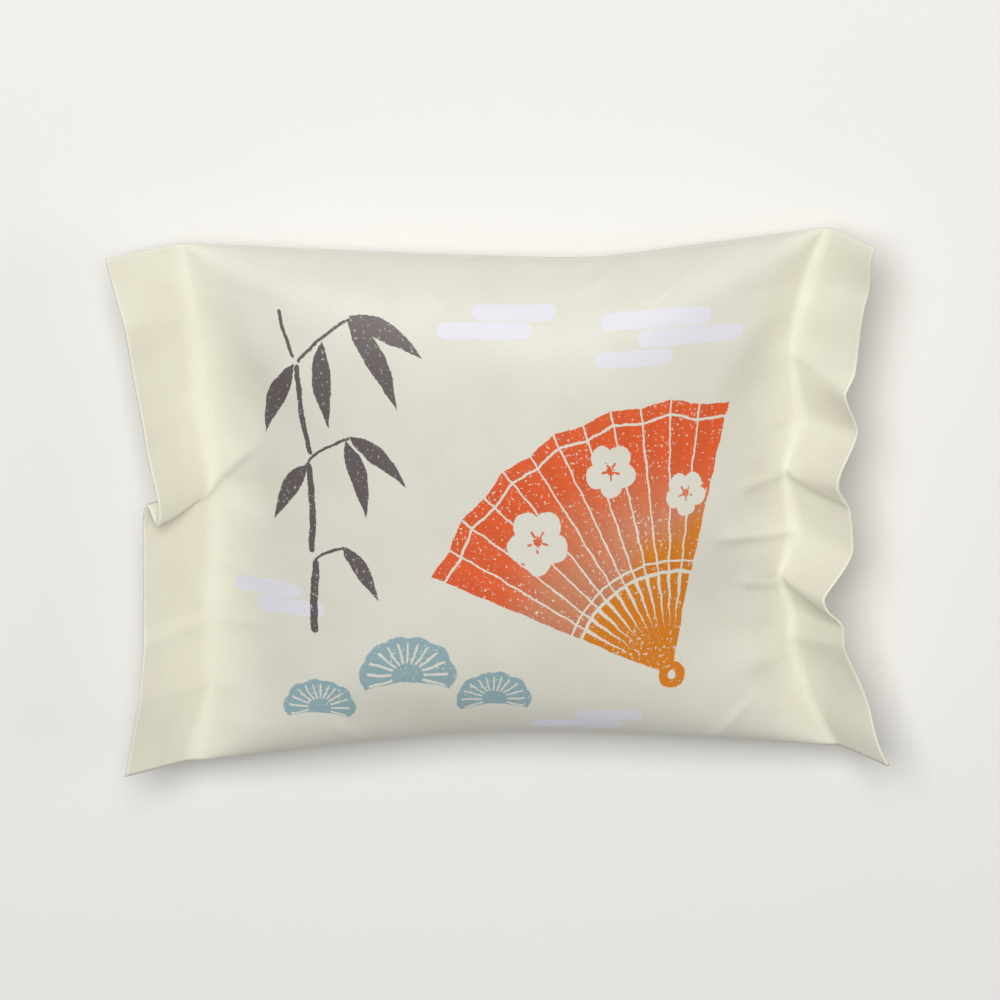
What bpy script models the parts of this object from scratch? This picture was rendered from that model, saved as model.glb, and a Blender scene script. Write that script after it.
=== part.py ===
"""A sealed flow-wrap sachet with one small cake inside, lying on its back with the printed side up.

Metres, +Z up. X runs along the sachet from end seal to end seal and +Y towards the top of the print.
The origin is under the middle of the sachet, on the surface that it lies on.
"""

import math

import bmesh
import bpy
import numpy as np

# Sizes of the filled sachet
BODY_LENGTH = 0.098  # between the inner lines of the two end seals
SEAL_DEPTH = 0.014  # each end seal, from its inner line to its cut edge
TUBE_WIDTH = 0.084  # the film tube pressed flat, so the length of each end seal
THICKNESS = 0.0225  # over the cake
FILM = 0.0004  # an end seal, and the film at the two long folds
SEAL_HEIGHT = 0.0095  # of the end seals' inner lines above the table
FOOT_PRESS = 0.0010  # how far the weight flattens the rounded underside

# The tube swells from each end seal to its full thickness over this length, at the bottom and top folds
LEFT_SWELL = (0.034, 0.036)
RIGHT_SWELL = (0.037, 0.032)
SWELL_POWER = 2.2

# How far the filling draws the middle of a seal's inner line inwards, and how square the drawn line is
LEFT_PULL = (0.0032, 2)
RIGHT_PULL = (0.0058, 4)

# How far each long fold sags, where along the sachet it is deepest (-1 to 1), and how round the dip is
BOTTOM_DIP = (0.0041, -0.04, 0.7)
TOP_DIP = (0.0037, 0.26, 0.12)

# How far each end seal is bent up, in degrees, at places along it from -1 (bottom fold) to +1 (top fold)
# The left seal has one curled lip at its middle, and the right seal has waves
LEFT_LIFT = ((-1.0, 36), (-0.40, 39), (-0.03, 37), (0.04, 64), (0.19, 52), (0.58, 43), (1.0, 34))
RIGHT_LIFT = (
    (-1.0, 58),
    (-0.74, 49),
    (-0.46, 60),
    (-0.35, 70),
    (-0.18, 52),
    (0.0, 50),
    (0.13, 62),
    (0.28, 51),
    (0.42, 60),
    (0.53, 47),
    (0.80, 53),
    (1.0, 66),
)
BEND_LENGTH = 0.0035  # of the soft fold between a seal and the body
BEND_STEPS = 12  # straight steps that a seal's bent profile is added up from

# The lap seam along the underside
SEAM_WIDTH = 0.010
SEAM_AT = 0.001
SEAM_PROUD = 0.0005
SEAM_RAMP = 0.0005  # width of its stepped edge

# Dents and ridges in the printed face: place along (-1 to 1), across (-1 to 1), length, width, turn, height
FACE_CREASES = (
    (-0.78, 0.62, 0.022, 0.0045, -48, 0.0011),
    (-0.90, 0.30, 0.026, 0.0050, -84, -0.0010),
    (0.80, 0.66, 0.024, 0.0042, 52, 0.0012),
    (0.90, 0.36, 0.020, 0.0045, 80, -0.0012),
    (0.46, -0.16, 0.034, 0.0085, 40, 0.0008),
    (0.70, -0.40, 0.028, 0.0075, 62, -0.0012),
    (-0.86, 0.08, 0.010, 0.0030, 12, -0.0012),
    (-0.84, -0.62, 0.030, 0.0055, 96, -0.0009),
    (0.86, 0.06, 0.010, 0.0026, -8, 0.0009),
    (0.84, -0.24, 0.011, 0.0028, -14, 0.0010),
    (0.83, -0.60, 0.010, 0.0028, 8, 0.0009),
    (0.18, 0.80, 0.030, 0.0050, 10, -0.0007),
    (-0.30, -0.80, 0.034, 0.0055, -8, -0.0008),
)
CREASE_START = 0.4  # share of the full swelling at which the creases stand at their full height
CREASE_MARGIN = 1 / 6  # share of the half-width over which they fade out towards the long folds

# Cells of the film's grid: along a seal, its bend, the swelling and the middle, and across the tube
SEAL_CELLS = 4
BEND_CELLS = 3
SWELL_CELLS = 10
MIDDLE_CELLS = 14
ACROSS_CELLS = 42
SWELL_SHARE = 0.62  # part of the half-length with the swelling's cells
SWELL_CROWDING = 1.25  # how much closer together they are at the seal

FILM_COLOUR = (0.775, 0.760, 0.640, 1.0)
FILM_ROUGHNESS = 0.55

HALF_BODY = BODY_LENGTH / 2
HALF_TUBE = TUBE_WIDTH / 2
SEAM_EDGES = ((SEAM_AT - SEAM_WIDTH / 2) / HALF_TUBE, (SEAM_AT + SEAM_WIDTH / 2) / HALF_TUBE)


def clear_scene():
    for old in list(bpy.data.objects):
        bpy.data.objects.remove(old)


def eased(value):
    """0 to 1, level at both ends."""
    value = min(max(value, 0.0), 1.0)
    return value * value * (3 - 2 * value)


def between(table, at):
    """The value at a place in a table of (place, value), eased from one entry to the next."""
    if at <= table[0][0]:
        return table[0][1]
    for (low, before), (high, after) in zip(table, table[1:]):
        if at <= high:
            return before + (after - before) * eased((at - low) / (high - low))
    return table[-1][1]


def section_table(steps=240, shapes=160, fullest=2.2, flattest=400.0):
    """Half-sections of the film from flat to full, for section(): the rise at the middle, x and drop of each."""
    along = np.linspace(0.0, 1.0, steps + 1)
    table = []
    for power in np.geomspace(flattest, fullest, shapes):
        slope = math.pi / 2 * along**power
        middle = (slope[1:] + slope[:-1]) / 2
        across = np.concatenate([[0.0], np.cumsum(np.cos(middle))]) / steps
        drop = np.concatenate([[0.0], np.cumsum(np.sin(middle))]) / steps
        table.append((drop[-1], across, drop))
    return along, table


ALONG, SHAPES = section_table()
RISES = np.array([shape[0] for shape in SHAPES])


def section(rise, across):
    """Where a point of one half of the film lies: its distance from the middle, and its height above the folds.

    rise is the half-thickness there, and across the place in the film, from -1 to 1.
    The film bends ever faster towards the fold, and its length from fold to fold never changes.
    """
    wanted = min(max(rise / HALF_TUBE, RISES[0]), RISES[-1])
    index = min(max(int(np.searchsorted(RISES, wanted)), 1), len(SHAPES) - 1)
    share = (wanted - RISES[index - 1]) / (RISES[index] - RISES[index - 1])
    found = []
    for _, wide, drop in SHAPES[index - 1 : index + 1]:
        found.append((np.interp(abs(across), ALONG, wide), drop[-1] - np.interp(abs(across), ALONG, drop)))
    wide = found[0][0] + (found[1][0] - found[0][0]) * share
    high = found[0][1] + (found[1][1] - found[0][1]) * share
    return math.copysign(wide * HALF_TUBE, across), high * HALF_TUBE * min(rise / HALF_TUBE / wanted, 1.0)


def stations():
    """Places along the sachet: within 1 is the body, and beyond 1 a seal, measured in seal depths."""
    bend = BEND_LENGTH / SEAL_DEPTH
    seal = [1 + bend + (1 - bend) * i / SEAL_CELLS for i in range(SEAL_CELLS, 0, -1)]
    fold = [1 + bend * i / BEND_CELLS for i in range(BEND_CELLS, 0, -1)]
    swell = [1 - SWELL_SHARE * (i / SWELL_CELLS) ** SWELL_CROWDING for i in range(SWELL_CELLS)]
    inner = 1 - SWELL_SHARE
    right = [*seal, *fold, *swell]
    middle = [inner - 2 * inner * i / MIDDLE_CELLS for i in range(MIDDLE_CELLS + 1)]
    return [-place for place in right] + middle[::-1] + right[::-1]


def seal_lift(side, across):
    """The angle that an end seal is bent up by, in radians."""
    return math.radians(between(LEFT_LIFT if side < 0 else RIGHT_LIFT, across))


def seal_line(side, across):
    """How far from the middle of the body the inner line of an end seal lies."""
    pull, squareness = LEFT_PULL if side < 0 else RIGHT_PULL
    return HALF_BODY - pull * (1 - abs(across) ** squareness)


def fold_line(place, across):
    """How far from the middle a long fold lies: each sags between the two seals, the top one in a soft V."""
    dip, deepest, flat = BOTTOM_DIP if across < 0 else TOP_DIP
    reach = 1 - deepest if place > deepest else 1 + deepest
    share = min(abs(place - deepest) / reach, 1.0)
    risen = (math.hypot(share, flat) - flat) / (math.hypot(1.0, flat) - flat)
    return HALF_TUBE - dip * (1 - risen)


def swelling(place, across):
    """0 at an end seal, 1 over the cake."""
    if abs(place) >= 1:
        return 0.0
    bottom, top = LEFT_SWELL if place < 0 else RIGHT_SWELL
    length = bottom + (top - bottom) * (across + 1) / 2
    inwards = seal_line(math.copysign(1, place), across) * (1 - abs(place))
    rest = 1 - min(max(inwards / length, 0.0), 1.0)
    return 1 - rest**SWELL_POWER


def face_relief(x, y):
    """Height of the creases of the printed face over its smooth form."""
    height = 0.0
    for along, across, length, width, turn, size in FACE_CREASES:
        angle = math.radians(turn)
        dx = x - along * HALF_BODY
        dy = y - across * HALF_TUBE
        ahead = (dx * math.cos(angle) + dy * math.sin(angle)) / (length / 2)
        aside = (dy * math.cos(angle) - dx * math.sin(angle)) / width
        height += size * math.exp(-ahead * ahead - aside * aside)
    return height


def spine(place, across):
    """The middle surface of the sachet: its x, its height, and the angle that it is turned up by."""
    side = math.copysign(1, place)
    line = seal_line(side, across)
    if abs(place) <= 1:
        lifted = THICKNESS / 2 - FOOT_PRESS - SEAL_HEIGHT
        height = SEAL_HEIGHT + lifted * swelling(place, across)
        return place * line, height, 0.0
    beyond = (abs(place) - 1) * SEAL_DEPTH
    lift = seal_lift(side, across)
    out, up = line, SEAL_HEIGHT
    for i in range(BEND_STEPS):
        angle = lift * eased(beyond * (i + 0.5) / BEND_STEPS / BEND_LENGTH)
        out += math.cos(angle) * beyond / BEND_STEPS
        up += math.sin(angle) * beyond / BEND_STEPS
    return side * out, up, side * lift * eased(beyond / BEND_LENGTH)


def film_point(place, across, upper):
    """Where a point of the film goes, on the printed face or on the underside."""
    x, height, turn = spine(place, across)
    swell = swelling(place, across)
    rise = (THICKNESS - FILM) / 2 * swelling(place, 0.0)
    y, high = section(rise, across)
    y += (fold_line(place, across) - section(rise, 1.0)[0]) * across * abs(across)
    if rise:
        high *= (THICKNESS - FILM) / 2 * swell / rise
    high += FILM / 2
    if upper:
        faded = min(1.0, swell / CREASE_START) * eased((1 - abs(across)) / CREASE_MARGIN)
        high += face_relief(x, y) * faded
    on_seam = SEAM_EDGES[0] < across < SEAM_EDGES[1]
    if on_seam and not upper:
        high += SEAM_PROUD
    offset = high if upper else -high
    x -= math.sin(turn) * offset
    z = height + math.cos(turn) * offset
    if abs(place) <= 1 and not upper:
        z = max(z, 0.0 if on_seam else SEAM_PROUD)
    return x, y, z


def film_material():
    material = bpy.data.materials.new("film")
    material.use_nodes = True
    shader = material.node_tree.nodes["Principled BSDF"]
    shader.inputs["Base Color"].default_value = FILM_COLOUR
    shader.inputs["Roughness"].default_value = FILM_ROUGHNESS
    return material


def across_places():
    """Places across the film, with a line of vertices at the foot and the top of each edge of the seam."""
    places = [-1 + 2 * i / ACROSS_CELLS for i in range(ACROSS_CELLS + 1)]
    for edge in SEAM_EDGES:
        nearest = min(range(len(places)), key=lambda i: abs(places[i] - edge))
        places[nearest] = edge - SEAM_RAMP / 2 / HALF_TUBE
        places[nearest + 1] = edge + SEAM_RAMP / 2 / HALF_TUBE
    return places


def make_sachet():
    """A flat pouch of two sheets joined all round, then each vertex moved to its place in the filled form."""
    along, across = stations(), across_places()
    pouch = bmesh.new()
    bmesh.ops.create_grid(pouch, x_segments=len(along) - 1, y_segments=len(across) - 1, size=1.0)
    top = bmesh.ops.extrude_face_region(pouch, geom=pouch.faces[:], use_keep_orig=True)["geom"]
    upper = {item for item in top if isinstance(item, bmesh.types.BMVert)}
    for vertex in pouch.verts:
        column = round((vertex.co.x + 1) / 2 * (len(along) - 1))
        row = round((vertex.co.y + 1) / 2 * (len(across) - 1))
        vertex.co = film_point(along[column], across[row], vertex in upper)
    low = [min(vertex.co[axis] for vertex in pouch.verts) for axis in range(3)]
    high = [max(vertex.co[axis] for vertex in pouch.verts) for axis in range(3)]
    middle = [(low[0] + high[0]) / 2, (low[1] + high[1]) / 2, low[2]]
    bmesh.ops.translate(pouch, verts=pouch.verts[:], vec=[-value for value in middle])
    bmesh.ops.recalc_face_normals(pouch, faces=pouch.faces[:])
    mesh = bpy.data.meshes.new("sachet")
    pouch.to_mesh(mesh)
    pouch.free()
    mesh.shade_smooth()
    mesh.materials.append(film_material())
    sachet = bpy.data.objects.new("sachet", mesh)
    bpy.context.scene.collection.objects.link(sachet)
    return sachet


clear_scene()
make_sachet()
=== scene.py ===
"""The looks of a sealed flow-wrap cake sachet: printed paper film, bent end seals and a lap seam below.

Metres, +Z up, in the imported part's frame. X runs from end seal to end seal, and +Y towards the print's top.
The print is drawn in millimetres on the flat film, from the middle of the printed face.
"""

import math
import random

import bmesh
import bpy
import numpy as np
from bpy.props import FloatProperty, FloatVectorProperty, IntProperty, PointerProperty
from bpy.types import Operator, Panel, PropertyGroup
from mathutils import Matrix, Vector, noise


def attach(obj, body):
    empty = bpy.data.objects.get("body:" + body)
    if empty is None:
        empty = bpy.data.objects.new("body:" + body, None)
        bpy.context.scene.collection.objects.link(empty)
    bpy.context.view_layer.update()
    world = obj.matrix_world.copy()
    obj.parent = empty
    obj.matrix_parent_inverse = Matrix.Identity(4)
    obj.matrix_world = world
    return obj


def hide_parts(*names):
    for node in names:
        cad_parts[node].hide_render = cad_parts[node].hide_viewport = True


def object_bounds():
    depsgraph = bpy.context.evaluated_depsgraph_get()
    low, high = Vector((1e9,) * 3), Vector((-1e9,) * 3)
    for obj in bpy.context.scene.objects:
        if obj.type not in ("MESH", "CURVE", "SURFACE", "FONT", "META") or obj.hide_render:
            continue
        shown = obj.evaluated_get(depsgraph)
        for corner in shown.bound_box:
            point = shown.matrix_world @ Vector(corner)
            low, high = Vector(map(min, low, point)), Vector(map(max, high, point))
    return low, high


bl_info = {
    "name": "Wrapped cake sachet",
    "version": (1, 0, 0),
    "blender": (4, 5, 0),
    "location": "View3D > Sidebar > Sachet",
    "description": "Makes a sealed paper-film sachet with a printed face, and the stage that shows it",
    "category": "Object",
}

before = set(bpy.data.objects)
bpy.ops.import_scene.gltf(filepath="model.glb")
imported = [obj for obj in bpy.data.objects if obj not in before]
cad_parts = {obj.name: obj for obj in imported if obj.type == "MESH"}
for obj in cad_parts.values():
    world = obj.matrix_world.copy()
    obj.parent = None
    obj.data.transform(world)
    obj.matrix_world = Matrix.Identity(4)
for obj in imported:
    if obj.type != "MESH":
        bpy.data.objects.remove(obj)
CAD_LOW, CAD_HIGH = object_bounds()

NODE = "sachet"

# Each of these tables has the left end seal under -1 and the right one under 1. A row begins with its place
# along the seal, from -1 at the bottom fold to 1 at the top fold.
# How far the seal is bent up, in degrees
SEAL_LIFT = {
    -1: ((-1.0, 36), (-0.40, 39), (-0.13, 37), (0.17, 55), (0.36, 49), (0.62, 43), (1.0, 36)),
    1: (
        (-1.0, 56), (-0.74, 47), (-0.46, 56), (-0.35, 63), (-0.18, 50), (0.0, 48),
        (0.12, 57), (0.28, 51), (0.42, 57), (0.53, 46), (0.80, 51), (1.0, 63),
    ),
}
# How far out of the seal's inner line its bend begins, and how long the bend is, in metres
SEAL_BEND = {
    -1: (
        (-1.0, 0.0010, 0.0030), (-0.70, 0.0000, 0.0020), (-0.42, 0.0013, 0.0028), (-0.10, 0.0003, 0.0024),
        (0.12, 0.0000, 0.0028), (0.45, 0.0012, 0.0036), (0.75, 0.0004, 0.0030), (1.0, 0.0000, 0.0024),
    ),
    1: (
        (-1.0, 0.0004, 0.0024), (-0.78, 0.0002, 0.0020), (-0.58, 0.0004, 0.0024), (-0.34, 0.0000, 0.0016),
        (-0.14, 0.0006, 0.0026), (0.08, 0.0000, 0.0016), (0.27, 0.0006, 0.0028), (0.53, 0.0000, 0.0018),
        (0.80, 0.0004, 0.0030), (1.0, 0.0000, 0.0024),
    ),
}
# How far inwards of its smooth curve the inner line lies, in metres
SEAL_ZIGZAG = {
    -1: ((-1.0, 0.0), (1.0, 0.0)),
    1: (
        (-1.0, 0.0), (-0.80, 0.0004), (-0.58, 0.0015), (-0.46, 0.0008), (-0.33, 0.0022), (-0.17, 0.0004),
        (0.08, 0.0012), (0.29, -0.0006), (0.53, 0.0004), (1.0, 0.0),
    ),
}
ZIGZAG_REACH = 0.2  # share of the body's half-length over which the zigzag fades out
# How far the inner line is drawn in at its middle, and how squarely it curves
SEAL_PULL = {-1: (0.0041, 2), 1: (0.0058, 4)}
# How far from the seal the tube has swelled to its full thickness, at the bottom and top folds
SWELL_LENGTH = {-1: (0.034, 0.036), 1: (0.037, 0.032)}

# The left seal overlaps itself in one pleat: how far its cut edge is shifted along the seal, in metres
PLEAT = ((-0.55, 0.0), (-0.05, 0.0044), (0.11, -0.0042), (0.60, 0.0))
PLEAT_OPENING = 0.8  # the power of how fast the shift grows outwards

# How far each long fold sags, where along the sachet it is deepest (-1 to 1), and how round the dip is
BOTTOM_DIP = (0.0041, -0.04, 0.7)
TOP_DIP = (0.0037, 0.26, 0.12)

# Dents and ridges in the printed face: place along (-1 to 1), across (-1 to 1), length, width, turn, height
FACE_CREASES = (
    (-0.78, 0.62, 0.022, 0.0045, -48, 0.0011), (-0.90, 0.30, 0.026, 0.0050, -84, -0.0010),
    (0.80, 0.66, 0.024, 0.0042, 52, 0.0012), (0.90, 0.36, 0.020, 0.0045, 80, -0.0012),
    (0.46, -0.16, 0.034, 0.0085, 40, 0.0008), (0.70, -0.40, 0.028, 0.0075, 62, -0.0012),
    (-0.86, 0.08, 0.010, 0.0030, 12, -0.0012), (-0.84, -0.62, 0.030, 0.0055, 96, -0.0009),
    (0.86, 0.06, 0.010, 0.0026, -8, 0.0009), (0.84, -0.24, 0.011, 0.0028, -14, 0.0010),
    (0.83, -0.60, 0.010, 0.0028, 8, 0.0009), (0.18, 0.80, 0.030, 0.0050, 10, -0.0007),
    (-0.30, -0.80, 0.034, 0.0055, -8, -0.0008),
)
CREASE_START = 0.4  # share of the full swelling at which the creases stand at their full height
CREASE_MARGIN = 0.1  # share of the half-width over which they fade out towards the long folds

# Crisp creases across the end seals and the film beside them, in millimetres: from and to, outwards from
# the seal's inner line, place along the seal at that line, lean, height, and widths towards top and bottom
SEAL_CREASES = {
    -1: (
        (-8.0, 3.5, 4.4, -0.95, 1.00, 2.6, 0.7), (-9.0, 1.5, -9.5, 0.25, 0.22, 2.2, 1.0),
        (-2.0, 20.0, -19.0, -0.12, 0.35, 4.0, 1.6), (-7.0, 1.0, 23.0, 0.35, 0.20, 2.4, 1.0),
        (-2.0, 20.0, 30.0, 0.10, 0.25, 4.0, 2.0), (-6.0, 0.8, -30.0, -0.30, 0.22, 1.8, 1.0),
    ),
    1: (
        (-5.0, 22.0, 22.0, -0.25, 0.55, 4.5, 1.2), (-4.0, 22.0, 3.2, -0.17, 0.85, 4.0, 0.7),
        (-8.5, 1.5, 2.7, 0.05, 0.75, 1.1, 0.7), (-13.5, 3.5, -6.8, -0.12, 1.00, 1.9, 0.6),
        (-5.0, 22.0, -13.5, -0.22, 0.60, 3.5, 1.0), (-9.0, 2.0, -15.0, -0.20, 0.75, 1.6, 0.6),
        (-5.0, 22.0, -24.0, 0.10, 0.50, 3.0, 1.2), (-9.0, 1.0, -27.0, -0.15, 0.35, 1.6, 1.0),
        (-6.0, 1.0, 30.0, 0.30, 0.22, 2.0, 1.0), (-10.0, 0.5, 13.0, -0.20, 0.18, 2.2, 1.2),
    ),
}
# The same for the long folds, from the bottom and the top one: outwards from the fold, and along the sachet
FOLD_CREASES = {
    (-1, True): (
        (-10.0, -0.6, -21.0, 0.8, 0.40, 1.4, 0.8), (-8.0, -0.6, 4.0, -0.5, 0.35, 0.9, 1.4),
        (-12.0, -0.6, 27.0, -0.9, 0.45, 1.6, 0.8),
    ),
    (-1, False): (
        (-9.0, -0.6, -9.0, 0.6, 0.40, 1.2, 0.8), (-12.0, -0.6, 17.0, -0.7, 0.45, 0.8, 1.6),
    ),
    (1, True): (
        (-8.0, -0.6, 19.5, 1.1, 0.75, 1.6, 0.6), (-9.0, -0.6, 11.5, 0.5, 0.35, 1.5, 1.0),
        (-12.0, -0.6, -17.0, -0.8, 0.30, 1.6, 1.0), (-11.0, -0.6, 33.0, 1.0, 0.35, 0.9, 1.4),
    ),
    (1, False): (
        (-9.0, -0.6, 15.0, 0.6, 0.45, 1.2, 0.8), (-12.0, -0.6, -23.0, -0.7, 0.40, 0.8, 1.6),
        (-8.0, -0.6, 30.0, 0.9, 0.35, 1.2, 0.9),
    ),
}
FOLD_START = 1 / 3  # share of the full swelling at which the long folds' creases stand at their full height
CREST = 0.2  # rounding of a crease's crest
SEAL_MARGIN = 0.08  # share of the half-width over which the seals' creases fade out towards the long folds

# Small puckers of one side of the film only, beside the end seals, in millimetres
PUCKER_COUNT = 11
PUCKER_SEED = 11
PUCKER_HEIGHT = (0.06, 0.22)
PUCKER_WIDTH = (0.6, 1.9)
PUCKER_REACH = (5.0, 13.0)
PUCKER_SPAN = 76.0
PUCKER_LEAN = 0.009  # largest lean for each millimetre from the seal's middle

# How softly the foot rises from the table
FOOT_EDGE = 0.0003

# The film's shallow unevenness over the cake
WAVE_SIZE = (0.026, 0.019)
WAVE_HEIGHT = 0.00045
WAVE_LAYERS = {True: 3.7, False: 11.3}  # where the noise is cut, for the face and for the underside

# The lap seam
SEAM_GAPE = 0.0006  # how far its free edge stands off the film
SEAM_WAVES = ((0.5, 9.0, 0.6), (0.3, 23.0, 0.0))  # of the free edge: height, pace along the sachet and start
SEAM_PRESSED = 0.00012  # thickness where the end seals press it flat
SEAM_MARGIN = 0.0004  # width of its thin edges
SEAM_SLOPE = 0.35  # share of its step that is lost at the free edge
SEAM_RISE = 0.12  # share of the half-length over which it rises from the end seals

# Flat length of the film's picture space. Its height is the way round the tube: face, then underside.
FLAT_LENGTH = 0.128
MILLIMETRES = 1000


def paint(red, green, blue):
    """A colour as it looks, 0 to 255, as Blender's linear colour."""
    shares = [value / 255 for value in (red, green, blue)]
    return tuple(share / 12.92 if share <= 0.04045 else ((share + 0.055) / 1.055) ** 2.4 for share in shares)


def length_property(name, description, default):
    settings = {"min": 0.0, "unit": "LENGTH", "precision": 5}
    return FloatProperty(name=name, description=description, default=default, **settings)


def number_property(name, description, default, low=0.0):
    return FloatProperty(name=name, description=description, default=default, min=low)


def angle_property(name, description, degrees):
    return FloatProperty(name=name, description=description, default=math.radians(degrees), subtype="ANGLE")


def count_property(name, description, default):
    return IntProperty(name=name, description=description, default=default, min=20)


def colour_property(name, description, default):
    settings = {"subtype": "COLOR", "min": 0.0, "max": 1.0}
    return FloatVectorProperty(name=name, description=description, default=default, **settings)


class SachetSizes(PropertyGroup):
    """Sizes of the filled sachet."""

    body_length: length_property("Body length", "Between the inner lines of the end seals", 0.098)
    seal_depth: length_property("Seal depth", "Of each end seal, from inner line to cut edge", 0.014)
    tube_width: length_property("Tube width", "The film tube pressed flat", 0.084)
    thickness: length_property("Thickness", "Over the cake", 0.0225)
    film: length_property("Film", "Two layers welded together", 0.0003)
    seal_height: length_property("Seal height", "Of the seals' inner lines above the table", 0.0095)
    foot_press: length_property("Foot press", "How far the weight flattens the underside", 0.0010)
    seam_width: length_property("Seam width", "Of the lap seam's strip", 0.010)
    seam_at: length_property("Seam place", "Middle of the lap seam from the middle of the film", 0.001)
    seam_proud: length_property("Seam step", "How far the lap seam stands out of the underside", 0.0005)
    swell_power: number_property("Swell power", "How round the tube swells", 2.2, 1.0)
    cells_along: count_property("Cells along", "Of the film's grid", 226)
    cells_across: count_property("Cells across", "Of the film's grid", 154)


class SachetPrint(PropertyGroup):
    """Colours of the film and of its print."""

    # The seals' film is lighter and the face greyer: partly the cake showing through the face, partly painted
    # light on the seals and painted shade on the slopes
    film: colour_property("Film", "Matt cream paper film of the seals", paint(240, 238, 220))
    face: colour_property("Face", "Film that lies on the cake, a little greyer", paint(225, 224, 212))
    red: colour_property("Red", "Main colour of the fan", paint(228, 92, 36))
    pink: colour_property("Pink", "What the red fades to", paint(208, 132, 94))
    amber: colour_property("Amber", "Of the fan's sticks and inner edge", paint(216, 126, 12))
    teal: colour_property("Teal", "Of the pines", paint(146, 175, 181))
    lavender: colour_property("Lavender", "Of the mist bands", paint(227, 226, 235))
    ink: colour_property("Ink", "Of the bamboo", paint(84, 72, 72))


class SachetStage(PropertyGroup):
    """The floor, the light and the camera."""

    floor: colour_property("Floor", "Plain pale floor", paint(244, 243, 241))
    key_power: number_property("Key light", "Large soft light from above", 8.4)
    fill_power: number_property("Fill light", "Weak warm light from the right", 0.9)
    sky: number_property("Sky", "Even white light from all round", 0.26)
    lens: FloatProperty(name="Lens", description="Focal length", default=268.0, min=1, unit="CAMERA")
    distance: length_property("Distance", "From the camera to the sachet", 1.15)
    tilt: angle_property("Tilt", "Camera's angle off straight down, towards the top of the print", 18)
    roll: angle_property("Roll", "How far the sachet is turned anticlockwise in the picture", 1.4)


# Form of the film


def eased(values):
    """0 to 1, level at both ends."""
    values = np.clip(values, 0.0, 1.0)
    return values * values * (3 - 2 * values)


def between(table, at):
    """Values at places in a table of (place, value), eased from one entry to the next."""
    places, values = np.transpose(table)
    at = np.clip(at, places[0], places[-1])
    index = np.clip(np.searchsorted(places, at) - 1, 0, len(places) - 2)
    share = (at - places[index]) / (places[index + 1] - places[index])
    return values[index] + (values[index + 1] - values[index]) * eased(share)


def straight(table, at, column=1):
    """Values at places in a table whose rows begin with the place, in straight lines from row to row."""
    columns = np.transpose(table)
    return np.interp(at, columns[0], columns[column])


def section_table(steps=240, shapes=160, fullest=2.2, flattest=400.0):
    """Half-sections of the film from flat to full: the rise at the middle, x and drop of each."""
    along = np.linspace(0.0, 1.0, steps + 1)
    table = []
    for power in np.geomspace(flattest, fullest, shapes):
        slope = math.pi / 2 * along**power
        middle = (slope[1:] + slope[:-1]) / 2
        across = np.concatenate([[0.0], np.cumsum(np.cos(middle))]) / steps
        drop = np.concatenate([[0.0], np.cumsum(np.sin(middle))]) / steps
        table.append((drop[-1], across, drop))
    return along, table


ALONG, SHAPES = section_table()
RISES = np.array([shape[0] for shape in SHAPES])


def section(rise, half_tube, across):
    """Where one section of the film lies: its distances from the middle, and its heights above the folds.

    rise is the half-thickness there, and across the places in the film, from -1 to 1.
    The film bends ever faster towards the fold, and its length from fold to fold never changes.
    """
    wanted = min(max(rise / half_tube, RISES[0]), RISES[-1])
    index = min(max(int(np.searchsorted(RISES, wanted)), 1), len(SHAPES) - 1)
    share = (wanted - RISES[index - 1]) / (RISES[index] - RISES[index - 1])
    found = []
    for _, wide, drop in SHAPES[index - 1 : index + 1]:
        far = np.abs(across)
        found.append((np.interp(far, ALONG, wide), drop[-1] - np.interp(far, ALONG, drop)))
    wide = found[0][0] + (found[1][0] - found[0][0]) * share
    high = found[0][1] + (found[1][1] - found[0][1]) * share
    return np.copysign(wide * half_tube, across), high * half_tube * min(rise / half_tube / wanted, 1.0)


def stations(sizes, cells):
    """Places along the sachet: within 1 is the body, and beyond 1 a seal, measured in seal depths.

    The cells of the seals are finer, and a line of cells lies on each seal's inner line.
    """
    whole = sizes.body_length + 2 * sizes.seal_depth
    seal_cells = max(round(1.25 * cells * sizes.seal_depth / whole), 4)
    body_cells = cells - 2 * seal_cells
    seal = 1 + np.arange(seal_cells, 0, -1) / seal_cells
    body = 1 - 2 * np.arange(body_cells + 1) / body_cells
    return np.concatenate([-seal, body[::-1], seal[::-1]])


def seal_line(sizes, side, across, place=1.0):
    """How far from the middle of the body an end seal's inner line lies. Its zigzag fades out inwards."""
    pull, squareness = SEAL_PULL[side]
    share = float(eased((place - 1 + ZIGZAG_REACH) / ZIGZAG_REACH))
    line = sizes.body_length / 2 - pull * (1 - np.abs(across) ** squareness)
    return line - straight(SEAL_ZIGZAG[side], across) * share


def fold_line(sizes, place, across):
    """How far from the middle the long folds lie. Each sags between the seals, the top one in a soft V."""
    lines = []
    for dip, deepest, flat in (BOTTOM_DIP, TOP_DIP):
        reach = 1 - deepest if place > deepest else 1 + deepest
        share = min(abs(place - deepest) / reach, 1.0)
        risen = (math.hypot(share, flat) - flat) / (math.hypot(1.0, flat) - flat)
        lines.append(sizes.tube_width / 2 - dip * (1 - risen))
    return np.where(across < 0, lines[0], lines[1])


def inwards_of(sizes, place, across):
    """Distance from the nearer seal's inner line into the body."""
    return seal_line(sizes, math.copysign(1, place), across) * (1 - abs(place))


def swelling(sizes, place, across):
    """0 at an end seal, 1 over the cake."""
    if abs(place) >= 1:
        return np.zeros_like(across)
    bottom, top = SWELL_LENGTH[math.copysign(1, place)]
    length = bottom + (top - bottom) * (across + 1) / 2
    rest = 1 - np.clip(inwards_of(sizes, place, across) / length, 0.0, 1.0)
    return 1 - rest**sizes.swell_power


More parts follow.
